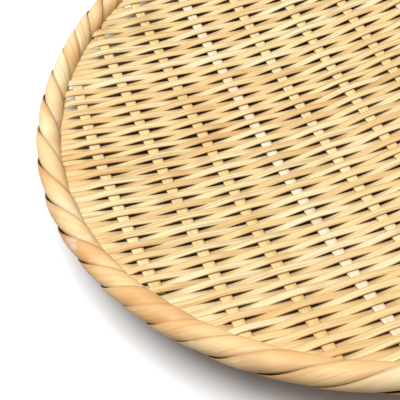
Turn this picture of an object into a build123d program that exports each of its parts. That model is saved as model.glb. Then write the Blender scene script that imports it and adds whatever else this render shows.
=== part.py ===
from build123d import *
import os
from math import cos, floor, pi, radians, sin, sqrt

# A round, shallow winnowing basket: a plain-woven tray of split bamboo, dished in the middle,
# with its edge carried by two bent hoops that three broad strips bind together.
# Millimetres, +Z up. The origin is under the centre of the tray, on the plane it rests on.
# The wefts lie along X and the warps along Y.

# The whole tray
OUTER_DIAMETER = 360.0
RIM_WIDTH = 12.0  # across the bound rim, seen from above
RIM_HEIGHT = 11.0
DISH_DEPTH = 27.0  # from the flat middle of the floor up to where the weave meets the rim
FLAT_RADIUS = 30.0  # the middle of the floor lies flat

# The weave
WARP_COUNT = 12
WARP_PITCH = 27.2
WARP_WIDTH = 4.6
WARP_THICKNESS = 1.1
WEFT_COUNT = 88
WEFT_PITCH = 3.79
WEFT_WIDTH = 3.65
WEFT_THICKNESS = 0.7
WEAVE_CLEARANCE = 0.15  # between a weft and the warp it crosses
EDGE_CLEARANCE = 0.5  # between the strips' ends and the binding
LAND_MARGIN = 0.6  # a weft lies straight this far beyond each edge of the warp it crosses

# The bound rim
BINDING_COUNT = 3
BINDING_TURNS = 18  # turns of one binding strip in its way round the rim
BINDING_START = 0.9  # degrees from +X at which the first strip lies on the rim's outside
BINDING_THICKNESS = 0.9
BINDING_COVER = 0.88  # share of the rim's length that the strips cover
BINDING_SEAM = 24.0  # degrees of its last turn that a strip leaves open
HOOP_CLEARANCE = 0.5  # between the hoops and the binding
HOOP_GAP = 0.6  # between the inner and the outer hoop
STEPS_PER_TURN = 16

RIM_INSIDE = OUTER_DIAMETER / 2 - RIM_WIDTH
RIM_MIDDLE = OUTER_DIAMETER / 2 - RIM_WIDTH / 2
WEAVE_RADIUS = RIM_INSIDE - EDGE_CLEARANCE
BOW = DISH_DEPTH / (RIM_INSIDE**2 - FLAT_RADIUS**2)
SWING = (WARP_THICKNESS + WEFT_THICKNESS) / 2 + WEAVE_CLEARANCE
FLOOR_LEVEL = SWING + WEFT_THICKNESS / 2  # mid-height of the warps over the flat middle
RIM_LEVEL = FLOOR_LEVEL + DISH_DEPTH


def dish(x, y):
    """Mid-height of the weave: flat in the middle, then rising to the rim."""
    return FLOOR_LEVEL + BOW * max(0.0, x**2 + y**2 - FLAT_RADIUS**2)


def tilt(offset):
    """Slope of the dish across a strip that lies this far from the centre line."""
    return 0.0 if abs(offset) < FLAT_RADIUS else 2 * BOW * offset


def reach(offset, width):
    """Half the length of a strip whose corners end on the weave's round edge."""
    return sqrt(WEAVE_RADIUS**2 - (abs(offset) + width / 2) ** 2)


def warp_offset(index):
    return (index - (WARP_COUNT - 1) / 2) * WARP_PITCH


def weft_offset(index):
    """The first weft is the one farthest along +Y."""
    return ((WEFT_COUNT - 1) / 2 - index) * WEFT_PITCH


def strip(path, thickness, low_edge, across):
    """A thin strip: its side profile along path, carried across its width."""
    under = [Vector(*low_edge) + Vector(*p) - Vector(0, 0, thickness / 2) for p in path]
    over = [Vector(*low_edge) + Vector(*p) + Vector(0, 0, thickness / 2) for p in path]
    side = Face(Wire.make_polygon(under + over[::-1], close=True))
    return Solid.extrude(side, Vector(*across))


def warp(index):
    """A stiff flat strip that keeps to the dish's own curve while the wefts bend round it."""
    x = warp_offset(index)
    end = reach(x, WARP_WIDTH)
    spans = 2 * floor(end / (2 * WEFT_PITCH)) + 1
    stations = [end * (2 * n / spans - 1) for n in range(spans + 1)]
    path = [(x, y, dish(x, y)) for y in stations]
    lean = tilt(x) * WARP_WIDTH
    return strip(path, WARP_THICKNESS, (-WARP_WIDTH / 2, 0, -lean / 2), (WARP_WIDTH, 0, lean))


def weft(index):
    """A thin strip that goes over one warp and under the next from edge to edge."""
    y = weft_offset(index)
    end = reach(y, WEFT_WIDTH)
    land = WARP_WIDTH / 2 + LAND_MARGIN
    crossed = [n for n in range(WARP_COUNT) if abs(warp_offset(n)) < end + WARP_WIDTH / 2 + 1]
    path = []
    for n in crossed:
        x = warp_offset(n)
        level = dish(x, y) + (SWING if (n + index) % 2 else -SWING)
        low, high = max(x - land, -end), min(x + land, end)
        path += [(low, y, level + tilt(x) * (low - x)), (high, y, level + tilt(x) * (high - x))]
    run_out = path[0][0] + end
    if run_out > 2:
        full_run = WARP_PITCH - 2 * land
        side = 1 if (crossed[0] + index) % 2 else -1
        fade = side * SWING * (1 - 2 * min(run_out / full_run, 1))
        path.insert(0, (-end, y, dish(end, y) + fade))
        side = 1 if (crossed[-1] + index) % 2 else -1
        fade = side * SWING * (1 - 2 * min(run_out / full_run, 1))
        path.append((end, y, dish(end, y) + fade))
    lean = tilt(y) * WEFT_WIDTH
    return strip(path, WEFT_THICKNESS, (0, -WEFT_WIDTH / 2, -lean / 2), (0, WEFT_WIDTH, lean))


def weft_pair(index):
    """Two wefts of one length: each is the other turned half round about the tray's axis."""
    return Compound(children=[weft(index), weft(WEFT_COUNT - 1 - index)])


def hoop(side):
    """Half of the rim's oval core, split down the middle: -1 is the inner hoop, 1 the outer."""
    inset = BINDING_THICKNESS + HOOP_CLEARANCE
    core = Ellipse(RIM_WIDTH / 2 - inset, RIM_HEIGHT / 2 - inset)
    half = Pos(side * (RIM_WIDTH + HOOP_GAP) / 2, 0) * Rectangle(RIM_WIDTH, RIM_HEIGHT)
    section = Plane.XZ * (Pos(RIM_MIDDLE, RIM_LEVEL) * (core & half))
    return revolve(section, Axis.Z)


def binding_section(start, turn):
    """The strip's cross-section after this many turns round the hoops."""
    middle = radians(start) + 2 * pi * turn / BINDING_TURNS
    share = BINDING_COVER / (2 * BINDING_COUNT * BINDING_TURNS)
    out, up = cos(2 * pi * turn), sin(2 * pi * turn)
    corners = []
    for inset, side in ((0, -1), (0, 1), (BINDING_THICKNESS, 1), (BINDING_THICKNESS, -1)):
        radius = RIM_MIDDLE + (RIM_WIDTH / 2 - inset) * out
        level = RIM_LEVEL + (RIM_HEIGHT / 2 - inset) * up
        around = middle + side * 2 * pi * share
        corners.append((radius * cos(around), radius * sin(around), level))
    return Wire.make_polygon([Vector(*c) for c in corners], close=True)


def binding(number):
    """One broad strip wound round both hoops, over the top and down the inside."""
    start = BINDING_START + number * 360 / (BINDING_COUNT * BINDING_TURNS)
    seam = BINDING_SEAM / 360
    count = BINDING_TURNS * STEPS_PER_TURN
    turns = [-0.25 + (BINDING_TURNS - seam) * n / count for n in range(count + 1)]
    return Solid.make_loft([binding_section(start, t) for t in turns], ruled=True)


def save(node, shape):
    export_step(shape, f"parts/{node}.step")


os.makedirs("parts", exist_ok=True)
for n in range(WARP_COUNT):
    save(f"warp_{n + 1:02d}", warp(n))
for n in range(WEFT_COUNT // 2):
    save(f"weft_pair_{n + 1:02d}", weft_pair(n))
save("rim_hoop_inner", hoop(-1))
save("rim_hoop_outer", hoop(1))
save("rim_bindings", Compound(children=[binding(n) for n in range(BINDING_COUNT)]))
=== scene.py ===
import math
import random

import bmesh
import bpy
from mathutils import Matrix, Vector, noise


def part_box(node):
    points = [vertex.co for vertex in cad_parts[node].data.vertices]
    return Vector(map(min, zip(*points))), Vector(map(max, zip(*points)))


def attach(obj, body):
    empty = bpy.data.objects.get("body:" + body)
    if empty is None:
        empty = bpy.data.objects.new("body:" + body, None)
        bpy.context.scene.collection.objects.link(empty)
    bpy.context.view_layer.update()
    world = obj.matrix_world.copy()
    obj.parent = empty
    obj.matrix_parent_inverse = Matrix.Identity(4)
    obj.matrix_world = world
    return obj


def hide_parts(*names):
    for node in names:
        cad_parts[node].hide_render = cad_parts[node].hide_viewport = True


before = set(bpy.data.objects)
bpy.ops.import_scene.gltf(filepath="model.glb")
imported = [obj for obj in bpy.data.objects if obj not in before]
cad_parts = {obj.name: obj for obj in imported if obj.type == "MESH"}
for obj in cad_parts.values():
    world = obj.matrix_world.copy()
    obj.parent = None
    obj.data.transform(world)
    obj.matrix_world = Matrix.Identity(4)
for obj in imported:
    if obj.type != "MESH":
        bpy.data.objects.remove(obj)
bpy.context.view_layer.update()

# ---------------------------------------------------------------- Warps
# Twelve stiff flat strips of split bamboo that run from rim to rim along Y. They are the
# thicker strips of the weave, so they keep the dish's own curve and the wefts bend round them.

WARP_NODES = sorted(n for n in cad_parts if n.startswith("warp_"))
PALE_WARP = "warp_04"
WARP_WIDTH = 0.0055
WARP_THICKNESS = 0.0014
WEAVE_RADIUS = 0.1700  # the strips end here, under the binding
RIM_INSIDE = 0.168
FLAT_RADIUS = 0.030
FLOOR_LEVEL = 0.0017
RIM_LEVEL = sum(corner[2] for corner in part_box("rim_bindings")) / 2
EDGE_DROP = 0.0010  # the weave goes in a little below the rim's mid-height
BOW = (RIM_LEVEL - EDGE_DROP - FLOOR_LEVEL) / (RIM_INSIDE**2 - FLAT_RADIUS**2)
WARP_01_BOW = 0.0045  # the outermost warp bends in by this at one end and half of it at the other
WARP_TONES = ((0.72, 0.48, 0.18), (0.88, 0.68, 0.31), (0.92, 0.80, 0.46))
PALE_TONES = ((0.80, 0.66, 0.40), (0.92, 0.82, 0.58), (0.95, 0.88, 0.68))


def dish(x, y):
    """Mid-height of the weave: flat in the middle, then rising to the rim."""
    return FLOOR_LEVEL + BOW * max(0.0, x * x + y * y - FLAT_RADIUS**2)


def reach(offset, width):
    """Half the length of a strip whose corners end at the rim."""
    return math.sqrt(WEAVE_RADIUS**2 - (abs(offset) + width / 2) ** 2)


def split_strip(length, width, thickness, cuts, roundness=0.3):
    """A straight split of bamboo, along X: a planed bar with its four long edges eased."""
    bm = bmesh.new()
    bmesh.ops.create_cube(bm, size=1)
    bmesh.ops.scale(bm, vec=(length, width, thickness), verts=bm.verts)
    long_edges = [e for e in bm.edges if abs(e.verts[0].co.x - e.verts[1].co.x) > length / 2]
    bmesh.ops.bevel(
        bm,
        geom=long_edges,
        offset=thickness * roundness,
        offset_type="OFFSET",
        affect="EDGES",
        segments=1,
        profile=0.5,
        material=-1,
    )
    long_edges = [e for e in bm.edges if abs(e.verts[0].co.x - e.verts[1].co.x) > length / 2]
    bmesh.ops.subdivide_edges(bm, edges=long_edges, cuts=cuts, use_grid_fill=False)
    return bm


def mark_grain(bm, start, tone):
    """Keeps each point's place on the straight strip, so that the grain follows the strip."""
    along = bm.loops.layers.uv.new("along")
    tones = bm.verts.layers.float.new("tone")
    for vert in bm.verts:
        vert[tones] = tone
    for face in bm.faces:
        for loop in face.loops:
            x, y, z = loop.vert.co
            loop[along].uv = (x + start, y + z * 0.7)


def join_strips(strips, name):
    """One object from finished strips, smooth along the grain."""
    joined = bmesh.new()
    for strip in strips:
        strip.normal_update()
        mesh = bpy.data.meshes.new("strip")
        strip.to_mesh(mesh)
        strip.free()
        joined.from_mesh(mesh)
        bpy.data.meshes.remove(mesh)
    mesh = bpy.data.meshes.new(name)
    joined.to_mesh(mesh)
    joined.free()
    mesh.shade_smooth()
    piece = bpy.data.objects.new(name, mesh)
    bpy.context.scene.collection.objects.link(piece)
    return piece


def bamboo(name, tones, width, streak, rim, painted_shade_strength=1.0, rough=0.42, skin=0.0, coarse=1.0):
    """Split bamboo: its own tone for each strip, long fibres, knots, stains, and painted shade in
    the dips of the weave, on side faces and under the binding.

    streak, rim, painted_shade_strength and skin are the strength of the fibres, the brown side
    edges (partly painted shade), the painted shade and the pale patches of skin (partly a painted
    highlight on the edges). coarse widens the fibres.
    """
    material = bpy.data.materials.new(name)
    material.use_nodes = True
    nodes, links = material.node_tree.nodes, material.node_tree.links
    shader = nodes["Principled BSDF"]

    def node(kind, **settings):
        made = nodes.new(kind)
        for key, value in settings.items():
            setattr(made, key, value)
        return made

    def feed(target, value):
        if isinstance(value, bpy.types.NodeSocket):
            links.new(value, target)
        else:
            target.default_value = value

    def maths(operation, first, second=0.0):
        made = node("ShaderNodeMath", operation=operation)
        feed(made.inputs[0], first)
        feed(made.inputs[1], second)
        return made.outputs[0]

    def fibres(scale, detail, stretch):
        """Noise drawn out along the strip."""
        place = node("ShaderNodeMapping")
        links.new(grain.outputs["UV"], place.inputs["Vector"])
        place.inputs["Scale"].default_value = stretch
        made = node("ShaderNodeTexNoise")
        made.inputs["Scale"].default_value = scale
        made.inputs["Detail"].default_value = detail
        links.new(place.outputs[0], made.inputs["Vector"])
        return made.outputs["Fac"]

    def blend(factor, first, second, mode="MIX"):
        made = node("ShaderNodeMix", data_type="RGBA", blend_type=mode)
        feed(made.inputs["Factor"], factor)
        feed(made.inputs["A"], first)
        feed(made.inputs["B"], second)
        return made.outputs["Result"]

    def ramp(value, low, high):
        made = node("ShaderNodeMapRange", interpolation_type="SMOOTHSTEP")
        feed(made.inputs["Value"], value)
        made.inputs["From Min"].default_value = low
        made.inputs["From Max"].default_value = high
        return made.outputs["Result"]

    grain = node("ShaderNodeUVMap", uv_map="along")
    tone = node("ShaderNodeAttribute", attribute_name="tone").outputs["Fac"]
    painted_shade = node("ShaderNodeAttribute", attribute_name="painted_shade").outputs["Fac"]
    place = node("ShaderNodeTexCoord").outputs["Object"]

    fine = fibres(1.0, 3.0, (30.0, 2300.0 / coarse, 1.0))
    broad = fibres(1.0, 2.0, (13.0, 800.0 / coarse, 1.0))
    slow = fibres(1.0, 2.0, (14.0, 60.0, 1.0))

    # the strip's own tone, which drifts along it
    drift = maths("ADD", tone, maths("MULTIPLY", maths("SUBTRACT", slow, 0.5), 0.9))
    colours = node("ShaderNodeValToRGB")
    feed(colours.inputs["Fac"], drift)
    ends = colours.color_ramp.elements
    ends[0].position, ends[1].position = 0.1, 0.95
    ends[0].color = (*tones[0], 1.0)
    ends[1].color = (*tones[2], 1.0)
    middle = colours.color_ramp.elements.new(0.5)
    middle.color = (*tones[1], 1.0)

    # dark and pale fibres
    dark = tuple(c * k for c, k in zip(tones[0], (0.72, 0.62, 0.50))) + (1.0,)
    colour = blend(
        maths("MULTIPLY", ramp(broad, 0.50, 0.68), streak), colours.outputs["Color"], dark
    )
    pale = tuple(min(1.0, c * 1.06 + 0.03) for c in tones[2]) + (1.0,)
    colour = blend(maths("MULTIPLY", ramp(fine, 0.52, 0.70), streak * 0.8), colour, pale)
    colour = blend(maths("MULTIPLY", ramp(fine, 0.46, 0.30), streak * 0.7), colour, dark)

    # knots across the strip
    knots = node("ShaderNodeTexNoise", noise_dimensions="1D")
    parts = node("ShaderNodeSeparateXYZ")
    links.new(grain.outputs["UV"], parts.inputs[0])
    feed(knots.inputs["W"], maths("MULTIPLY", parts.outputs["X"], 9.0))
    knots.inputs["Detail"].default_value = 0.0
    knot = ramp(knots.outputs["Fac"], 0.66, 0.90)
    colour = blend(maths("MULTIPLY", knot, 0.40), colour, dark)

    # stains, and the brown of the split side edges, which is partly painted shade darkening the
    # strips' edges
    stain = node("ShaderNodeTexNoise")
    links.new(place, stain.inputs["Vector"])
    stain.inputs["Scale"].default_value = 42.0
    stain.inputs["Detail"].default_value = 5.0
    brown = (0.48, 0.23, 0.08, 1.0)
    colour = blend(
        maths("MULTIPLY", ramp(stain.outputs["Fac"], 0.66, 0.80), 0.5), colour, brown
    )
    sides = ramp(maths("ABSOLUTE", parts.outputs["Y"]), width * 0.36, width * 0.56)
    colour = blend(maths("MULTIPLY", sides, rim), colour, brown)
    if skin:
        scurf = node("ShaderNodeTexNoise")
        links.new(place, scurf.inputs["Vector"])
        scurf.inputs["Scale"].default_value = 75.0
        scurf.inputs["Detail"].default_value = 6.0
        flakes = ramp(scurf.outputs["Fac"], 0.61, 0.70)
        patches = maths("MULTIPLY", flakes, ramp(fine, 0.35, 0.55))
        # pale stretches along the edges: skin colour, partly a painted highlight as on a lifted
        # edge
        skin_edge_and_painted_highlight = maths("MULTIPLY", sides, ramp(slow, 0.53, 0.62))
        patches = maths("MAXIMUM", patches, skin_edge_and_painted_highlight)
        colour = blend(maths("MULTIPLY", patches, skin), colour, (0.93, 0.87, 0.76, 1.0))
    # slow orange ageing, stronger towards -Y
    sun = node("ShaderNodeTexNoise")
    links.new(place, sun.inputs["Vector"])
    sun.inputs["Scale"].default_value = 12.0
    sun.inputs["Detail"].default_value = 2.0
    where = node("ShaderNodeSeparateXYZ")
    links.new(place, where.inputs[0])
    near_side = ramp(where.outputs["Y"], 0.02, -0.15)
    aged = maths("ADD", ramp(sun.outputs["Fac"], 0.46, 0.66), near_side)
    colour = blend(maths("MULTIPLY", aged, 0.27), colour, (0.86, 0.49, 0.19, 1.0))
    # painted shade: a near-black brown in the dips of the weave, on side faces, and under and
    # between the binding's turns
    painted_shade_colour = (0.055, 0.026, 0.010, 1.0)
    colour = blend(maths("MULTIPLY", painted_shade, painted_shade_strength), colour, painted_shade_colour)
    links.new(colour, shader.inputs["Base Color"])

    roughness = maths("ADD", rough, maths("MULTIPLY", broad, 0.30))
    roughness = maths("ADD", roughness, maths("MULTIPLY", painted_shade, 0.3))
    links.new(roughness, shader.inputs["Roughness"])
    shader.inputs["Specular IOR Level"].default_value = 0.35
    bump = node("ShaderNodeBump")
    bump.inputs["Strength"].default_value = 0.55
    bump.inputs["Distance"].default_value = 0.00025
    links.new(maths("ADD", fine, maths("MULTIPLY", broad, 1.5)), bump.inputs["Height"])
    links.new(bump.outputs[0], shader.inputs["Normal"])
    return material


def lay_warp(name):
    """A straight split strip, bent to the dish."""
    low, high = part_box(name)
    x0 = (low[0] + high[0]) / 2
    end = reach(x0, WARP_WIDTH)
    chance = random.Random("warp" + name)
    strip = split_strip(2 * end, WARP_WIDTH, WARP_THICKNESS, 60)
    mark_grain(strip, chance.uniform(0, 40), chance.uniform(0.3, 0.8))
    painted_shade_layer = strip.verts.layers.float.new("painted_shade")
    lean = 0.0 if abs(x0) < FLAT_RADIUS else 2 * BOW * x0
    bow_in = WARP_01_BOW if name == "warp_01" else 0.0
    for vert in strip.verts:
        along, across, up = vert.co
        swing = bow_in * (along / end) ** 2 * (1.0 if along > 0 else 0.5)
        x = x0 + across + swing
        vert.co = (x, along, dish(x0 + swing, along) + across * lean + up)
        # painted shade on the strip's side faces
        vert[painted_shade_layer] = 0.25 if abs(across) > WARP_WIDTH * 0.4 and abs(up) < 0.0005 else 0.0
    bmesh.ops.reverse_faces(strip, faces=strip.faces)  # the bend mirrors the strip
    return join_strips([strip], "strip_" + name)


warp_material = bamboo("warp_bamboo", WARP_TONES, WARP_WIDTH, streak=0.45, rim=0.35, painted_shade_strength=0.9)
pale_material = bamboo("pale_warp_bamboo", PALE_TONES, WARP_WIDTH, streak=0.4, rim=0.35, painted_shade_strength=0.9)
for name in WARP_NODES:
    piece = lay_warp(name)
    piece.data.materials.append(pale_material if name == PALE_WARP else warp_material)
    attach(piece, "root")
    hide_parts(name)

# ---------------------------------------------------------------- Wefts
# Eighty-eight thin, springy strips of split bamboo along X. Each goes over one warp and under
# the next, and its neighbour does the opposite. The two of a pair are equally long.

WEFT_PAIRS = sorted(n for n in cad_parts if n.startswith("weft_pair_"))
WEFT_COUNT = 2 * len(WEFT_PAIRS)
WEFT_WIDTH = 0.00365
WEFT_SPREAD = 1.09  # the supple wefts are pressed a little wider than cut
WEFT_THICKNESS = 0.0008
SWING = 0.00122  # how far a weft rises over a warp and dips under it
LAND = 0.10  # share of the warps' pitch over which a weft lies straight, each side of a warp
LEVEL_SHARE = 0.6  # share of the way from its last warp to its end in which a weft levels out
PRESSED = 0.06  # how much wider a weft is where it passes level between two warps
WANDER = 0.00022
TWIST = 0.10
# strength of the painted shade where a weft dips into the weave
WEAVE_PAINTED_SHADE = 0.20
STATIONS_PER_WARP = 8
WEFT_TONES = ((0.75, 0.47, 0.19), (0.89, 0.69, 0.34), (0.92, 0.83, 0.52))
WARP_PLACES = [sum(c[0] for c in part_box(n)) / 2 for n in WARP_NODES]
WARP_PITCH = WARP_PLACES[1] - WARP_PLACES[0]


def weave_phase(x, row, end):
    """1 where the weft lies over a warp, -1 where it lies under one, and 0 where it ends."""
    nearest = (x - WARP_PLACES[0]) / WARP_PITCH
    below = math.floor(nearest)
    first = math.ceil((-end - WARP_PLACES[0]) / WARP_PITCH)
    last = math.floor((end - WARP_PLACES[0]) / WARP_PITCH)
    first, last = max(first, 0), min(last, len(WARP_PLACES) - 1)
    if nearest < first or nearest > last:
        crossed = first if nearest < first else last
        gap = abs(nearest - crossed) * WARP_PITCH - LAND * WARP_PITCH
        room = end - abs(WARP_PLACES[crossed]) - LAND * WARP_PITCH
        part = min(max(gap / max(LEVEL_SHARE * room, 0.003), 0.0), 1.0)
        side = 1.0 if (crossed + row) % 2 else -1.0
        return side * (0.5 + 0.5 * math.cos(math.pi * part))
    part = nearest - below
    part = min(max((part - LAND) / (1 - 2 * LAND), 0.0), 1.0)
    side = 1.0 if (below + row) % 2 else -1.0
    return side * (0.5 * math.cos(math.pi * part) + 0.5 * (1 - 2 * part))


def lay_weft(row, y0):
    """A straight split strip, woven in over and under the warps."""
    chance = random.Random(1000 + row)
    width = WEFT_WIDTH * WEFT_SPREAD * chance.uniform(0.95, 1.05)
    end = reach(y0, WEFT_WIDTH)
    cuts = max(12, round(2 * end / WARP_PITCH * STATIONS_PER_WARP))
    strip = split_strip(2 * end, width, WEFT_THICKNESS * chance.uniform(0.85, 1.05), cuts, 0.32)
    mark_grain(strip, chance.uniform(0, 40), chance.betavariate(2.0, 1.6))
    painted_shade_layer = strip.verts.layers.float.new("painted_shade")
    lean = 0.0 if abs(y0) < FLAT_RADIUS else 2 * BOW * y0
    roll = chance.uniform(-0.05, 0.05)
    for vert in strip.verts:
        x, across, up = vert.co
        phase = weave_phase(x, row, end)
        wander = WANDER * noise.noise(Vector((x * 28, row * 7.7, 0.0)))
        twist = roll + TWIST * noise.noise(Vector((x * 35, row * 3.1, 5.0)))
        level = dish(x, y0) + SWING * phase
        slope = 2 * BOW * x
        vert.co = (
            x - slope * up,
            y0 + wander + across * (1 + PRESSED * (1 - abs(phase))) - lean * up,
            level + up + across * (lean + twist),
        )
        # painted shade where the weft dips under a warp, on the face turned into the weave, and on
        # its side faces
        inner = -phase if up > 0 else phase
        painted_shade = WEAVE_PAINTED_SHADE * min(max((inner - 0.35) / 0.50, 0.0), 1.0)
        if abs(up) < WEFT_THICKNESS * 0.25:
            painted_shade = max(painted_shade, 0.35)
        vert[painted_shade_layer] = painted_shade
    return strip


weft_material = bamboo("weft_bamboo", WEFT_TONES, WEFT_WIDTH, streak=0.68, rim=0.55, painted_shade_strength=0.97)
for number, name in enumerate(WEFT_PAIRS):
    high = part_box(name)[1]
    y0 = high[1] - WEFT_WIDTH / 2
    far_weft = lay_weft(number, y0)
    near_weft = lay_weft(WEFT_COUNT - 1 - number, -y0)
    piece = join_strips([far_weft, near_weft], "strips_" + name)
    piece.data.materials.append(weft_material)
    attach(piece, "root")
    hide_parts(name)

# ---------------------------------------------------------------- Hoops
# The inner and the outer hoop, two half-round bamboo poles bent into rings that pinch the edge of
# the weave. They are bound over, so only slivers of them show, and their near-black tones are
# painted shade, so that these slivers read as shade between the binding's turns.

HOOP_PAINTED_SHADE_TONES = ((0.10, 0.05, 0.02), (0.16, 0.09, 0.04), (0.24, 0.14, 0.06))


def painted_shade_bamboo(name, tones):
    """Bamboo round a ring in near-black tones, which are painted shade: fibres that run round the
    tray's axis.
    """
    material = bpy.data.materials.new(name)
    material.use_nodes = True
    nodes, links = material.node_tree.nodes, material.node_tree.links
    shader = nodes["Principled BSDF"]
    place = nodes.new("ShaderNodeTexCoord")
    turn = nodes.new("ShaderNodeVectorMath")
    turn.operation = "LENGTH"
    flat = nodes.new("ShaderNodeVectorMath")
    flat.operation = "MULTIPLY"
    flat.inputs[1].default_value = (1.0, 1.0, 0.0)
    links.new(place.outputs["Object"], flat.inputs[0])
    links.new(flat.outputs[0], turn.inputs[0])
    parts = nodes.new("ShaderNodeSeparateXYZ")
    links.new(place.outputs["Object"], parts.inputs[0])
    ring = nodes.new("ShaderNodeCombineXYZ")
    links.new(turn.outputs["Value"], ring.inputs["X"])
    links.new(parts.outputs["Z"], ring.inputs["Y"])
    fibres = nodes.new("ShaderNodeTexNoise")
    fibres.inputs["Scale"].default_value = 2600.0
    fibres.inputs["Detail"].default_value = 3.0
    links.new(ring.outputs[0], fibres.inputs["Vector"])
    colours = nodes.new("ShaderNodeValToRGB")
    ends = colours.color_ramp.elements
    ends[0].color = (*tones[0], 1.0)
    ends[1].color = (*tones[2], 1.0)
    colours.color_ramp.elements.new(0.5).color = (*tones[1], 1.0)
    links.new(fibres.outputs["Fac"], colours.inputs["Fac"])
    links.new(colours.outputs["Color"], shader.inputs["Base Color"])
    shader.inputs["Roughness"].default_value = 0.7
    bump = nodes.new("ShaderNodeBump")
    bump.inputs["Strength"].default_value = 0.5
    bump.inputs["Distance"].default_value = 0.0003
    links.new(fibres.outputs["Fac"], bump.inputs["Height"])
    links.new(bump.outputs[0], shader.inputs["Normal"])
    return material


hoop_painted_shade_material = painted_shade_bamboo("hoop_painted_shade", HOOP_PAINTED_SHADE_TONES)
for name in ("rim_hoop_inner", "rim_hoop_outer"):
    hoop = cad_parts[name]
    hoop.data.materials.clear()
    hoop.data.materials.append(hoop_painted_shade_material)

# ---------------------------------------------------------------- Binding
# Three broad, supple strips with the bamboo's skin outwards, wound side by side round both
# hoops and down through the edge of the weave. They are laid by hand, so the lay wanders.

BINDING_COUNT = 3
BINDING_TURNS = 18
BINDING_START = math.radians(0.9)
BINDING_WIDTH = 0.0099
BINDING_THICKNESS = 0.0007
STATIONS_PER_TURN = 22
RIM_LOW, RIM_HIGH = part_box("rim_bindings")
RIM_WIDTH = 0.012
RIM_MIDDLE = (RIM_HIGH[0] - RIM_LOW[0]) / 2 - RIM_WIDTH / 2
RIM_HALF_WIDTH = 0.0051
RIM_HALF_HEIGHT = 0.0048
CROWN = 0.00070  # how far a strip's middle stands out from its edges
LUMPS = 0.00055
SHINGLE = 0.00045  # one edge rises and the other goes under the next turn
EDGE_CURL = 0.00025
BINDING_TONES = ((0.76, 0.42, 0.16), (0.91, 0.64, 0.31), (0.95, 0.79, 0.49))


def hand_lay(angle):
    """How far a turn strays from its even place, in radians round the rim."""
    return math.radians(
        3.3 * math.cos(5 * (angle + math.radians(169)))
        * (0.65 + 0.35 * math.cos(angle + math.radians(150)))
    )


def wind_binding(number):
    """A straight split strip, wound helically round the hoops."""
    chance = random.Random(50 + number)
    turns = BINDING_TURNS - 0.03
    around = 2 * math.pi * RIM_HALF_HEIGHT * 1.04
    lay = 2 * math.pi * RIM_MIDDLE / BINDING_TURNS
    length = turns * math.hypot(around, lay)
    steep = math.atan2(around, lay)
    strip = split_strip(
        length, BINDING_WIDTH, BINDING_THICKNESS, round(turns * STATIONS_PER_TURN), 0.3
    )
    along_edges = [
        e for e in strip.edges if abs(e.verts[0].co.y - e.verts[1].co.y) > BINDING_WIDTH / 2
    ]
    bmesh.ops.subdivide_edges(strip, edges=along_edges, cuts=5, use_grid_fill=True)
    mark_grain(strip, chance.uniform(0, 40), 0.55)
    tones = strip.verts.layers.float["tone"]
    painted_shade_layer = strip.verts.layers.float.new("painted_shade")
    start = BINDING_START + 2 * math.pi * number / (BINDING_COUNT * BINDING_TURNS)
    for vert in strip.verts:
        x, across, up = vert.co
        turn = (x / length + 0.5) * turns - 0.25
        middle = start + 2 * math.pi * turn / BINDING_TURNS
        edge = across / (BINDING_WIDTH / 2)
        ragged = 0.98 + 0.13 * noise.noise(Vector((x * 22, number * 9.1, edge)))
        over = 2 * math.pi * turn - across * ragged * math.cos(steep) / RIM_HALF_HEIGHT
        theta = middle + across * ragged * math.sin(steep) / RIM_MIDDLE
        theta += hand_lay(middle)
        lumps = noise.noise(Vector((x * 30, number * 5.0, edge * 0.5)))
        grow = CROWN * (1 - edge * edge) + LUMPS * lumps - SHINGLE * edge
        grow += EDGE_CURL * max(0.0, -edge) ** 2 + up
        out = (RIM_HALF_WIDTH + grow) * math.cos(over)
        rise = (RIM_HALF_HEIGHT + grow) * math.sin(over)
        radius = RIM_MIDDLE + out
        vert.co = (radius * math.cos(theta), radius * math.sin(theta), RIM_LEVEL + rise)
        change = noise.noise(Vector((x * 24, number * 13.0, 2.0)))
        vert[tones] = 0.58 - 0.30 * max(0.0, -edge) ** 2 + 1.4 * change
        # painted shade under the strip and along its seams with the next turns
        under = up < -BINDING_THICKNESS * 0.1
        vert[painted_shade_layer] = 0.9 if under else max(0.0, (abs(edge) - 0.9) / 0.1) * 0.35
    bmesh.ops.reverse_faces(strip, faces=strip.faces)  # the winding mirrors the strip
    return join_strips([strip], f"binding_strip_{number + 1}")


binding_material = bamboo(
    "binding_bamboo",
    BINDING_TONES,
    BINDING_WIDTH,
    streak=0.3,
    rim=0.6,
    rough=0.34,
    skin=0.65,
    coarse=1.8,
)
for number in range(BINDING_COUNT):
    piece = wind_binding(number)
    piece.data.materials.append(binding_material)
    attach(piece, "root")
    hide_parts("rim_bindings")

# ---------------------------------------------------------------- Studio
# A white floor that keeps the tray's shadow, soft lamps and the camera. On a disc under the tray
# the floor shows a dark painted shade, so that the openings in the weave look dark.

FLOOR_SIZE = 30.0
SKY_STRENGTH = 0.15
SHADE_MIDDLE = (0.0, 0.022, 0.0)
SHADE_RADIUS = 0.164
SHADE_FADE = 0.010
VIEW_PLACE = (-0.1507, -0.3012, 0.3194)
VIEW_RIGHT = Vector((0.9217, -0.3375, -0.1915))
VIEW_UP = Vector((0.3769, 0.6611, 0.6488))
VIEW_AHEAD = Vector((0.0923, 0.6702, -0.7364))
LENS_WIDTHS = 2.17875


def background_rays(nodes, links):
    """1 for the rays that show the background, straight, mirrored or through glass."""
    ray = nodes.new("ShaderNodeLightPath")
    seen = ray.outputs["Is Camera Ray"]
    for kind in ("Is Glossy Ray", "Is Transmission Ray"):
        either = nodes.new("ShaderNodeMath")
        either.operation = "MAXIMUM"
        links.new(seen, either.inputs[0])
        links.new(ray.outputs[kind], either.inputs[1])
        seen = either.outputs[0]
    return seen


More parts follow.
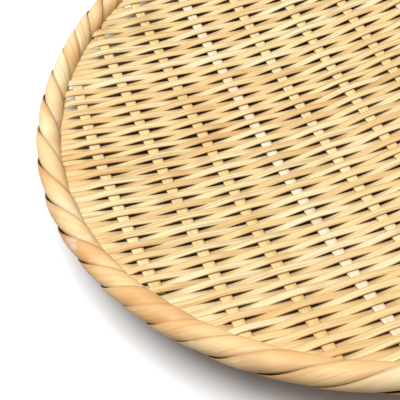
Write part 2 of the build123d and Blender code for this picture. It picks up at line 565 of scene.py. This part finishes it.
def pale_floor():
    """White to background rays, save on the disc of painted shade under the tray, and a dark matt
    floor colour to all other rays.
    """
    material = bpy.data.materials.new("studio_floor")
    material.use_nodes = True
    nodes, links = material.node_tree.nodes, material.node_tree.links
    shader = nodes["Principled BSDF"]
    shader.inputs["Roughness"].default_value = 0.9
    place = nodes.new("ShaderNodeTexCoord")
    away = nodes.new("ShaderNodeVectorMath")
    away.operation = "DISTANCE"
    away.inputs[1].default_value = SHADE_MIDDLE
    links.new(place.outputs["Object"], away.inputs[0])
    open_floor = nodes.new("ShaderNodeMapRange")
    open_floor.inputs["From Min"].default_value = SHADE_RADIUS
    open_floor.inputs["From Max"].default_value = SHADE_RADIUS + SHADE_FADE
    links.new(away.outputs["Value"], open_floor.inputs["Value"])
    white = nodes.new("ShaderNodeMath")
    white.operation = "MULTIPLY"
    links.new(background_rays(nodes, links), white.inputs[0])
    links.new(open_floor.outputs["Result"], white.inputs[1])
    paper_and_painted_shade = nodes.new("ShaderNodeMix")
    paper_and_painted_shade.data_type = "RGBA"
    # the dark colour: the floor's own matt colour to all other rays, and painted shade on the disc
    # under the tray to background rays
    paper_and_painted_shade.inputs["A"].default_value = (0.17, 0.12, 0.08, 1.0)
    paper_and_painted_shade.inputs["B"].default_value = (0.95, 0.95, 0.95, 1.0)
    links.new(white.outputs[0], paper_and_painted_shade.inputs["Factor"])
    links.new(paper_and_painted_shade.outputs["Result"], shader.inputs["Base Color"])
    return material


floor_mesh = bmesh.new()
bmesh.ops.create_grid(floor_mesh, x_segments=1, y_segments=1, size=FLOOR_SIZE / 2)
mesh = bpy.data.meshes.new("studio_floor")
floor_mesh.to_mesh(mesh)
floor_mesh.free()
floor = bpy.data.objects.new("studio_floor", mesh)
bpy.context.scene.collection.objects.link(floor)
floor.data.materials.append(pale_floor())

world = bpy.data.worlds.new("studio")
bpy.context.scene.world = world
world.use_nodes = True
world_nodes, world_links = world.node_tree.nodes, world.node_tree.links
sky = world_nodes["Background"]
sky.inputs["Color"].default_value = (1.0, 1.0, 1.0, 1.0)
strength = world_nodes.new("ShaderNodeMath")
strength.operation = "MULTIPLY_ADD"
strength.inputs[1].default_value = 1.0 - SKY_STRENGTH
strength.inputs[2].default_value = SKY_STRENGTH
world_links.new(background_rays(world_nodes, world_links), strength.inputs[0])
world_links.new(strength.outputs[0], sky.inputs["Strength"])


def soft_lamp(name, place, size, power):
    """A square soft box that looks at the middle of the tray."""
    data = bpy.data.lights.new(name, "AREA")
    data.shape = "SQUARE"
    data.size = size
    data.energy = power
    lamp = bpy.data.objects.new(name, data)
    lamp.location = place
    aim = Vector((0.0, 0.0, 0.02)) - Vector(place)
    lamp.rotation_euler = aim.to_track_quat("-Z", "Y").to_euler()
    bpy.context.scene.collection.objects.link(lamp)


soft_lamp("soft_box_overhead", (-0.30, -0.05, 1.6), 1.1, 28.8)
soft_lamp("soft_box_back", (-0.5, 1.2, 1.1), 0.6, 4.0)

camera_data = bpy.data.cameras.new("camera")
camera_data.sensor_width = 36.0
camera_data.lens = 36.0 * LENS_WIDTHS
camera_data.clip_start = 0.01
camera = bpy.data.objects.new("camera", camera_data)
facing = Matrix((VIEW_RIGHT, VIEW_UP, -VIEW_AHEAD)).transposed().to_4x4()
camera.matrix_world = Matrix.Translation(VIEW_PLACE) @ facing
bpy.context.scene.collection.objects.link(camera)
bpy.context.scene.camera = camera
bpy.context.scene.view_settings.view_transform = "Standard"
